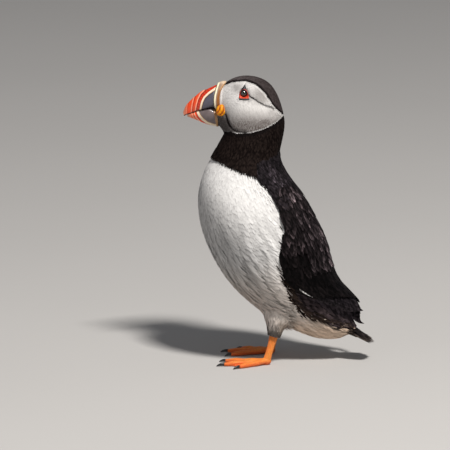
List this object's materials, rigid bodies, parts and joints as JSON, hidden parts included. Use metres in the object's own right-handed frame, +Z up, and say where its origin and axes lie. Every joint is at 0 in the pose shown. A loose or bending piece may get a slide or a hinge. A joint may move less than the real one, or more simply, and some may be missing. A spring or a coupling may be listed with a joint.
{
  "type": "atlantic puffin",
  "caption": "Atlantic puffin standing upright on both feet, wings folded, bill to one side, as a life-size museum model.",
  "frame": {"origin": "on the floor, under the middle of the bird's length and breadth", "axes": "+Z up, -X the way the bill points, +Y the bird's right side"},
  "size_m": [0.1682, 0.0918, 0.2529],
  "materials": {
    "plumage": "black and white feathers, soft and matte",
    "bill": "satin horn, orange-red, cream and slate",
    "rosette": "wrinkled yellow-orange skin",
    "eye": "wet and glossy",
    "leg": "scaly orange skin",
    "claw": "satin black horn"
  },
  "bodies": {
    "root": {"head": "plumage", "neck": "plumage", "trunk": "plumage", "tail": "plumage", "wing_left": "plumage", "wing_right": "plumage", "thigh_left": "plumage", "thigh_right": "plumage", "bill_upper": "bill", "bill_lower": "bill", "rosette_left": "rosette", "rosette_right": "rosette", "eye_left": "eye", "eye_right": "eye", "tarsus_left": "leg", "tarsus_right": "leg", "foot_left": "leg", "foot_right": "leg", "claw_inner_left": "claw", "claw_inner_right": "claw", "claw_middle_left": "claw", "claw_middle_right": "claw", "claw_outer_left": "claw", "claw_outer_right": "claw"}
  },
  "joints": []
}
